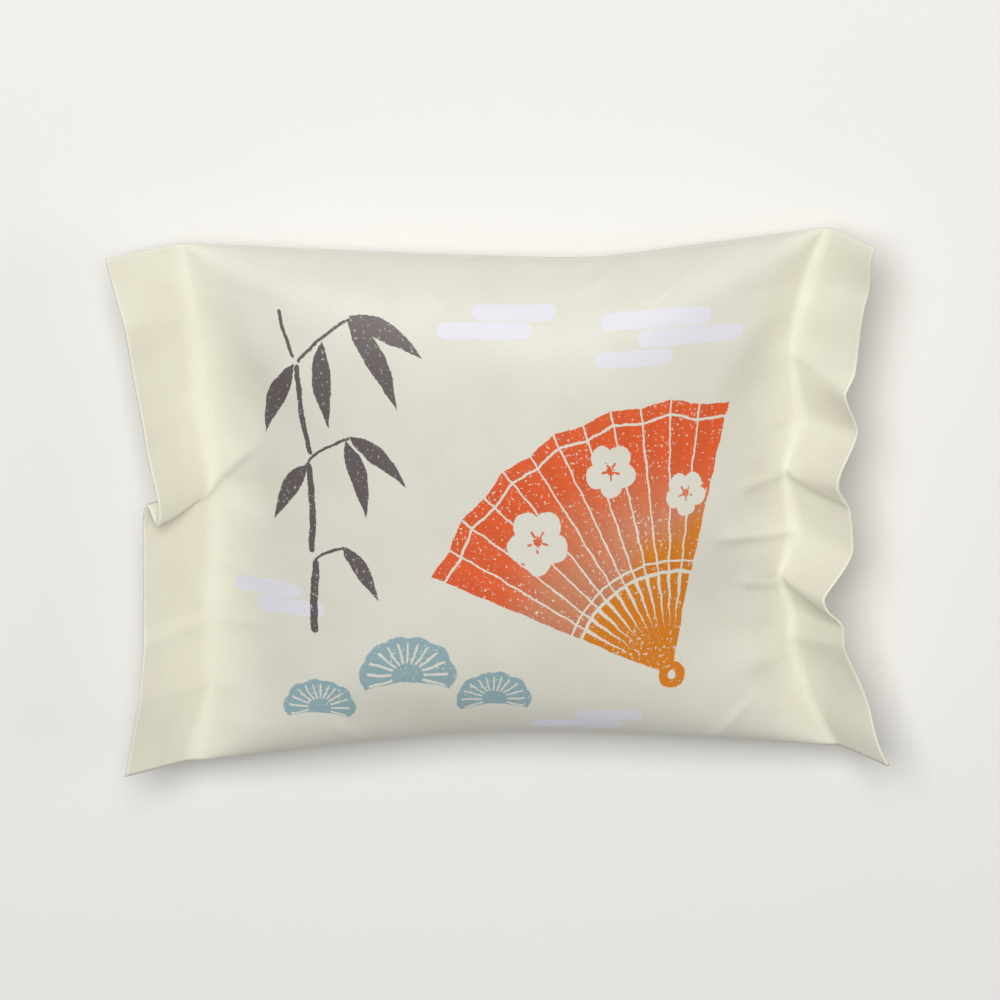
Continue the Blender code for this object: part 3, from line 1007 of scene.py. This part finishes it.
def whitened_and_highlit_edges(wire, along, across, sizes):
    """Where the film is paler: on its two cut ends and on its two long folds, a painted highlight with some
    whitening of the creased film.
    """
    end = (sizes.body_length / 2 + sizes.seal_depth) * MILLIMETRES
    cut = wire.soft_step(wire.minus(end, wire.maths("ABSOLUTE", along)), *HIGHLIGHT_CUT)
    width = sizes.tube_width * MILLIMETRES
    folded = wire.maths("PINGPONG", wire.maths("ADD", across, width / 2), width)
    to_fold = wire.maths("MINIMUM", folded, wire.minus(width, folded))
    return wire.maths("MAXIMUM", cut, wire.soft_step(to_fold, *HIGHLIGHT_FOLD))


def new_material(name):
    """A material, the wiring of its node tree, and the inputs of its shader."""
    material = bpy.data.materials.new(name)
    material.use_nodes = True
    tree = material.node_tree
    return material, Wiring(tree), tree.nodes["Principled BSDF"].inputs


def film_material(sizes, colours):
    """Matt cream paper film with its print."""
    material, wire, shader = new_material("printed film")
    flat = film_millimetres(wire, sizes)
    vector = wire.use("hand cut edge", {"Vector": flat, "Shake": EDGE_SHAKE})["Vector"]
    grain = wire.use("paper grain", {"Vector": flat})
    bare = wire.use("speckle", {"Vector": flat, "Amount": SPECKS})["Mask"]
    along, across, _ = wire.parts(flat)
    # Painted shade: the greyer face colour over the cake, darker than the seals' film, partly the cake
    # showing through
    cake_and_painted_shade = wire.times(*[wire.soft_step(along, outer, inner) for outer, inner in CAKE_AND_SHADE_ENDS])
    colour = wire.mix(cake_and_painted_shade, opaque(colours.film), opaque(colours.face))
    colour = wire.mix(wire.times(grain["Shade"], FIBRE_SHARE), colour, opaque(FIBRE_SHADE))
    # Painted highlight along the folds and cut edges, with some whitening of the creased film
    edge_highlight = wire.times(whitened_and_highlit_edges(wire, along, across, sizes), EDGE_HIGHLIGHT_SHARE)
    colour = wire.mix(edge_highlight, colour, opaque(EDGE_WHITENING_AND_HIGHLIGHT))
    colour = draw_mist(wire, vector, colour, colours)
    for draw in (draw_pines, draw_fan, draw_bamboo):
        colour = draw(wire, vector, colour, colours, bare)
    wire.fill(shader["Base Color"], colour)
    height = grain["Height"]
    sheen = wire.node("ShaderNodeMapRange", {"Value": height, "To Min": SHEEN[0], "To Max": SHEEN[1]})
    wire.fill(shader["Roughness"], sheen.outputs[0])
    wire.fill(shader["Normal"], wire.bump(FILM_GRAIN, height))
    return material


def seam_material(colours):
    """The unprinted film of the lap seam."""
    material, wire, shader = new_material("seam film")
    place = wire.node("ShaderNodeTexCoord").outputs["Object"]
    flat = wire.node("ShaderNodeMapping", {"Vector": place, "Scale": (MILLIMETRES,) * 3}).outputs[0]
    grain = wire.use("paper grain", {"Vector": flat})
    deeper = tuple(value * SEAM_DEEPER for value in colours.film)
    wire.fill(shader["Base Color"], wire.mix(grain["Shade"], opaque(deeper), opaque(colours.film)))
    wire.fill(shader["Roughness"], sum(SHEEN) / 2)
    wire.fill(shader["Normal"], wire.bump(SEAM_GRAIN, grain["Height"]))
    return material


class SACHET_OT_film(Operator):
    """Make the printed film: both faces of the tube and its two end seals"""

    bl_idname = "sachet.film"
    bl_label = "Make the film"

    def execute(self, context):
        sizes = context.scene.sachet_sizes
        across = np.linspace(-1, 1, sizes.cells_across + 1)
        material = film_material(sizes, context.scene.sachet_print)
        finished_piece("film", new_pouch(sizes, across, film_column), material)
        return {"FINISHED"}


class SACHET_OT_lap_seam(Operator):
    """Make the lap seam: the folded strip along the underside, from one cut edge to the other"""

    bl_idname = "sachet.lap_seam"
    bl_label = "Make the lap seam"

    def execute(self, context):
        sizes = context.scene.sachet_sizes
        material = seam_material(context.scene.sachet_print)
        finished_piece("lap_seam", new_pouch(sizes, seam_places(sizes), seam_column), material)
        return {"FINISHED"}


class SACHET_OT_stage(Operator):
    """Set up the plain pale floor, the soft light and the camera"""

    bl_idname = "sachet.stage"
    bl_label = "Set the stage"

    def execute(self, context):
        stage = context.scene.sachet_stage
        make_floor(stage)
        make_lights(stage)
        make_camera(stage)
        return {"FINISHED"}


LAMP_SIZE = 0.50


def make_floor(stage):
    """A wide floor, just under the sachet."""
    work = bmesh.new()
    bmesh.ops.create_grid(work, x_segments=1, y_segments=1, size=3.0)
    material, wire, shader = new_material("floor")
    wire.fill(shader["Base Color"], opaque(stage.floor))
    wire.fill(shader["Roughness"], 0.7)
    mesh_object("floor", work, material)


def make_lights(stage):
    """A large soft light from above, a weak warm one from the right, and an even sky."""
    lights = (
        ("key", (-0.12, 0.46, 0.98), stage.key_power, (1.0, 1.0, 1.0)),
        ("fill", (0.72, 0.10, 0.50), stage.fill_power, (1.0, 0.90, 0.74)),
    )
    for name, place, power, colour in lights:
        data = bpy.data.lights.new(name, "AREA")
        data.energy = power
        data.size = LAMP_SIZE
        data.color = colour
        facing = (-Vector(place)).to_track_quat("-Z", "Y").to_matrix().to_4x4()
        new_object(name, data).matrix_world = Matrix.Translation(place) @ facing
    world = bpy.data.worlds.new("studio")
    world.use_nodes = True
    sky = world.node_tree.nodes["Background"].inputs
    sky["Color"].default_value = (1.0, 1.0, 1.0, 1.0)
    sky["Strength"].default_value = stage.sky
    bpy.context.scene.world = world
    bpy.context.scene.view_settings.view_transform = "Standard"


def make_camera(stage):
    """Looks down on the face from the side of the print's top, with that top upwards in the picture."""
    data = bpy.data.cameras.new("camera")
    data.lens = stage.lens
    data.clip_end = 20
    camera = new_object("camera", data)
    back = Vector((0.0, math.sin(stage.tilt), math.cos(stage.tilt)))
    upwards = Vector((0.0, math.cos(stage.tilt), -math.sin(stage.tilt)))
    right = (-back).cross(upwards)
    axes = Matrix((right, upwards, back)).transposed() @ Matrix.Rotation(-stage.roll, 3, "Z")
    middle = (CAD_LOW + CAD_HIGH) / 2
    camera.matrix_world = Matrix.Translation(middle + back * stage.distance) @ axes.to_4x4()
    bpy.context.scene.camera = camera


class SACHET_PT_panel(Panel):
    """Lists the sachet's sizes, colours and makers in the sidebar"""

    bl_label = "Wrapped cake sachet"
    bl_idname = "SACHET_PT_panel"
    bl_space_type = "VIEW_3D"
    bl_region_type = "UI"
    bl_category = "Sachet"

    def draw(self, context):
        for group in (context.scene.sachet_sizes, context.scene.sachet_print, context.scene.sachet_stage):
            box = self.layout.box()
            for name in group.__annotations__:
                box.prop(group, name)
        for operator in OPERATORS:
            self.layout.operator(operator.bl_idname)


GROUPS = {"sachet_sizes": SachetSizes, "sachet_print": SachetPrint, "sachet_stage": SachetStage}
OPERATORS = (SACHET_OT_film, SACHET_OT_lap_seam, SACHET_OT_stage)
CLASSES = (*GROUPS.values(), *OPERATORS, SACHET_PT_panel)


def register():
    for item in CLASSES:
        bpy.utils.register_class(item)
    for name, group in GROUPS.items():
        setattr(bpy.types.Scene, name, PointerProperty(type=group))


def unregister():
    for name in GROUPS:
        delattr(bpy.types.Scene, name)
    for item in reversed(CLASSES):
        bpy.utils.unregister_class(item)


def main():
    register()
    bpy.ops.sachet.film()
    bpy.ops.sachet.lap_seam()
    bpy.ops.sachet.stage()


if __name__ == "__main__":
    main()
